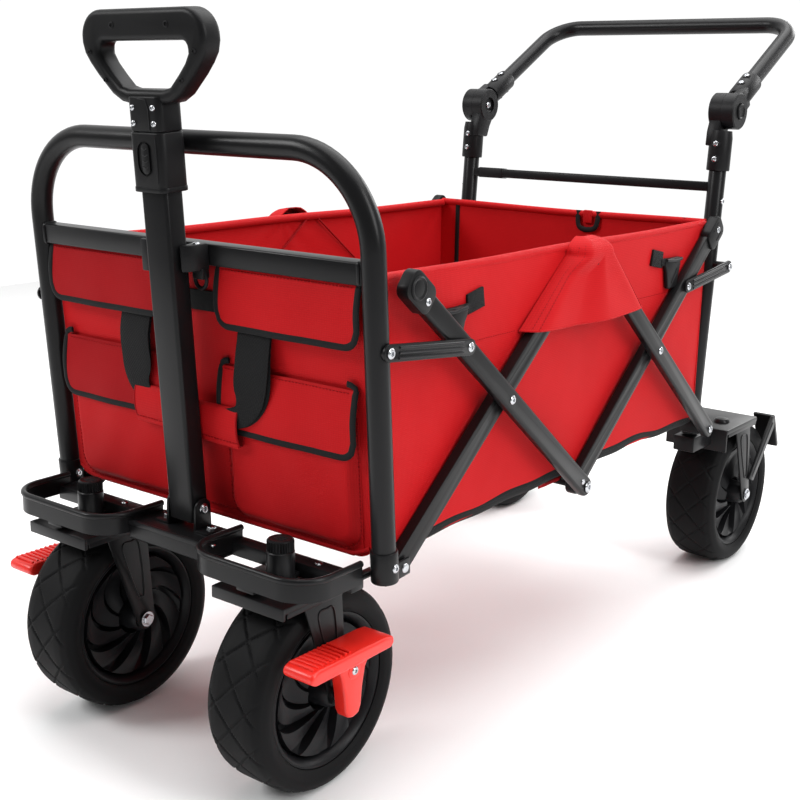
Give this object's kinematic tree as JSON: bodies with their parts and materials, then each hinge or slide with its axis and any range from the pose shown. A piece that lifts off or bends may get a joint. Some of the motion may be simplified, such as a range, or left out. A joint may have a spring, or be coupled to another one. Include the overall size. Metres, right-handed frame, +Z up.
{
  "type": "folding wagon with pull handle",
  "caption": "Folding utility wagon: cloth basket in a scissor frame, telescoping pull handle, tilting push bar, swivelling front casters with foot brakes and fixed rear wheels.",
  "frame": {"origin": "centre of the bounding box at ground level, where the wheels stand", "axes": "+Y runs from the pull handle at the front to the push bar at the rear, along the wagon's length; +Z is up; +X is across the wagon"},
  "size_m": [0.5364, 1.2128, 0.858],
  "materials": {
    "black_frame": "satin black powder coat on steel tube and strip",
    "black_plastic": "fine-grained black moulded plastic",
    "tyre_rubber": "matt black foam rubber with a shallow block tread",
    "rim_plastic": "black moulded wheel centre",
    "red_pedal": "bright red moulded plastic, slightly glossy",
    "red_cloth": "red coated polyester canvas",
    "steel": "zinc-plated steel bolts"
  },
  "bodies": {
    "rear_body": {"rear_frame": "black_frame", "joint_socket_L": "black_plastic", "joint_socket_R": "black_plastic", "rear_bracket_L": "black_frame", "rear_bracket_R": "black_frame", "rear_panel": "red_cloth", "side_panel_L": "red_cloth", "side_panel_R": "red_cloth"},
    "rear_outer_bars": {"rear_outer_bar_L": "black_frame", "rear_outer_bar_R": "black_frame"},
    "front_inner_bars": {"front_inner_bar_L": "black_frame", "front_inner_bar_R": "black_frame"},
    "rear_inner_bars": {"rear_inner_bar_L": "black_frame", "rear_inner_bar_R": "black_frame", "rear_collar_L": "black_plastic", "rear_collar_R": "black_plastic", "cross_rod": "black_frame", "floor_middle": "red_cloth"},
    "front_outer_bars": {"front_outer_bar_L": "black_frame", "front_outer_bar_R": "black_frame", "front_elbow_L": "black_plastic", "front_elbow_R": "black_plastic"},
    "front_body": {"front_hoop": "black_frame", "handle_clip": "black_plastic", "front_panel": "red_cloth", "front_subframe": "black_frame", "handle_pivot_pin": "steel"},
    "front_links": {"front_link_L": "black_frame", "front_link_R": "black_frame"},
    "rear_links": {"rear_link_L": "black_frame", "rear_link_R": "black_frame"},
    "floor_front_body": {"floor_front": "red_cloth"},
    "floor_rear_body": {"floor_rear": "red_cloth"},
    "pull_handle_body": {"handle_tube": "black_frame", "handle_collar": "black_plastic"},
    "release_button_body": {"release_button": "black_plastic"},
    "sliding_handle": {"inner_tube": "black_frame", "handle_grip": "black_plastic"},
    "push_handle_body": {"push_bar": "black_frame", "joint_disc_L": "black_plastic", "joint_disc_R": "black_plastic"},
    "caster_L": {"caster_fork_L": "black_frame", "caster_cap_L": "black_plastic", "front_axle_L": "steel"},
    "front_wheel_L": {"tyre_front_L": "tyre_rubber", "rim_front_L": "rim_plastic"},
    "rear_wheel_L": {"tyre_rear_L": "tyre_rubber", "rim_rear_L": "rim_plastic"},
    "pedal_L": {"brake_pedal_L": "red_pedal"},
    "joint_button_body_L": {"joint_button_L": "black_plastic"},
    "caster_R": {"caster_fork_R": "black_frame", "caster_cap_R": "black_plastic", "front_axle_R": "steel"},
    "front_wheel_R": {"tyre_front_R": "tyre_rubber", "rim_front_R": "rim_plastic"},
    "rear_wheel_R": {"tyre_rear_R": "tyre_rubber", "rim_rear_R": "rim_plastic"},
    "pedal_R": {"brake_pedal_R": "red_pedal"},
    "joint_button_body_R": {"joint_button_R": "black_plastic"}
  },
  "joints": [
    {"name": "fold", "type": "hinge", "parent": "rear_body", "child": "rear_outer_bars", "pos_m": [0, 0.28101, 0.256], "axis": [-1, 0, 0], "range_deg": [0, 39.7], "deforming": ["side_panel_L", "side_panel_R"]},
    {"name": "front_inner_pivot", "type": "hinge", "parent": "rear_outer_bars", "child": "front_inner_bars", "pos_m": [0, -0.08399, 0.549], "axis": [-1, 0, 0], "range_deg": [-79.9, 0.5]},
    {"name": "front_foot_pivot", "type": "hinge", "parent": "front_inner_bars", "child": "front_body", "pos_m": [0, -0.44899, 0.256], "axis": [-1, 0, 0], "range_deg": [-0.5, 40.2]},
    {"name": "rear_cross_pivot", "type": "hinge", "parent": "rear_outer_bars", "child": "rear_inner_bars", "pos_m": [0, 0.09851, 0.4025], "axis": [-1, 0, 0], "range_deg": [-79.9, 0.5]},
    {"name": "front_cross_pivot", "type": "hinge", "parent": "front_inner_bars", "child": "front_outer_bars", "pos_m": [0, -0.26649, 0.4025], "axis": [-1, 0, 0], "range_deg": [-0.5, 79.9]},
    {"name": "front_link_pivot", "type": "hinge", "parent": "front_body", "child": "front_links", "pos_m": [0, -0.49657, 0.492], "axis": [-1, 0, 0], "range_deg": [-69.82, 0.5]},
    {"name": "rear_link_pivot", "type": "hinge", "parent": "rear_body", "child": "rear_links", "pos_m": [0, 0.32511, 0.492], "axis": [-1, 0, 0], "range_deg": [-0.5, 71.52]},
    {"name": "floor_front_hinge", "type": "hinge", "parent": "front_body", "child": "floor_front_body", "pos_m": [0, -0.46699, 0.272], "axis": [-1, 0, 0], "range_deg": [-87.84, 0.5]},
    {"name": "floor_rear_hinge", "type": "hinge", "parent": "rear_body", "child": "floor_rear_body", "pos_m": [0, 0.26601, 0.272], "axis": [-1, 0, 0], "range_deg": [-0.5, 87.84]},
    {"name": "pull_handle", "type": "hinge", "parent": "front_body", "child": "pull_handle_body", "pos_m": [0, -0.51499, 0.287], "axis": [1, 0, 0], "range_deg": [0, 100]},
    {"name": "handle_slide", "type": "slide", "parent": "pull_handle_body", "child": "sliding_handle", "axis": [0, -0.0732, 0.9973], "range_m": [0, 0.28]},
    {"name": "release_button_press", "type": "slide", "parent": "pull_handle_body", "child": "release_button_body", "axis": [0, 0.9973, 0.0732], "range_m": [0, 0.0025], "stiffness_N_per_m": 800},
    {"name": "push_handle", "type": "hinge", "parent": "rear_body", "child": "push_handle_body", "pos_m": [0, 0.35551, 0.7133], "axis": [1, 0, 0], "range_deg": [-55, 60]},
    {"name": "joint_button_press_L", "type": "slide", "parent": "push_handle_body", "child": "joint_button_body_L", "axis": [1, 0, 0], "range_m": [0, 0.0025], "stiffness_N_per_m": 800},
    {"name": "caster_swivel_L", "type": "hinge", "parent": "front_body", "child": "caster_L", "pos_m": [-0.152, -0.52899, 0.235], "axis": [0, 0, 1], "continuous": true},
    {"name": "front_wheel_spin_L", "type": "hinge", "parent": "caster_L", "child": "front_wheel_L", "pos_m": [-0.152, -0.49299, 0.11345], "axis": [1, 0, 0], "continuous": true},
    {"name": "rear_wheel_spin_L", "type": "hinge", "parent": "rear_body", "child": "rear_wheel_L", "pos_m": [-0.21, 0.44601, 0.11345], "axis": [1, 0, 0], "continuous": true},
    {"name": "brake_pedal_L", "type": "hinge", "parent": "caster_L", "child": "pedal_L", "pos_m": [-0.152, -0.49699, 0.15], "axis": [1, 0, 0], "range_deg": [0, 14]},
    {"name": "joint_button_press_R", "type": "slide", "parent": "push_handle_body", "child": "joint_button_body_R", "axis": [-1, 0, 0], "range_m": [0, 0.0025], "stiffness_N_per_m": 800},
    {"name": "caster_swivel_R", "type": "hinge", "parent": "front_body", "child": "caster_R", "pos_m": [0.152, -0.52899, 0.235], "axis": [0, 0, 1], "continuous": true},
    {"name": "front_wheel_spin_R", "type": "hinge", "parent": "caster_R", "child": "front_wheel_R", "pos_m": [0.152, -0.49299, 0.11345], "axis": [1, 0, 0], "continuous": true},
    {"name": "rear_wheel_spin_R", "type": "hinge", "parent": "rear_body", "child": "rear_wheel_R", "pos_m": [0.21, 0.44601, 0.11345], "axis": [1, 0, 0], "continuous": true},
    {"name": "brake_pedal_R", "type": "hinge", "parent": "caster_R", "child": "pedal_R", "pos_m": [0.152, -0.49699, 0.15], "axis": [1, 0, 0], "range_deg": [0, 14]}
  ],
  "couplings": [
    {"joint": "front_inner_pivot", "follows": "fold", "ratio": -2},
    {"joint": "front_foot_pivot", "follows": "fold", "ratio": 1},
    {"joint": "rear_cross_pivot", "follows": "fold", "ratio": -2},
    {"joint": "front_cross_pivot", "follows": "fold", "ratio": 2},
    {"joint": "front_link_pivot", "follows": "fold", "ratio": -1.746},
    {"joint": "rear_link_pivot", "follows": "fold", "ratio": 1.789},
    {"joint": "floor_front_hinge", "follows": "fold", "ratio": -2.2},
    {"joint": "floor_rear_hinge", "follows": "fold", "ratio": 2.2}
  ]
}
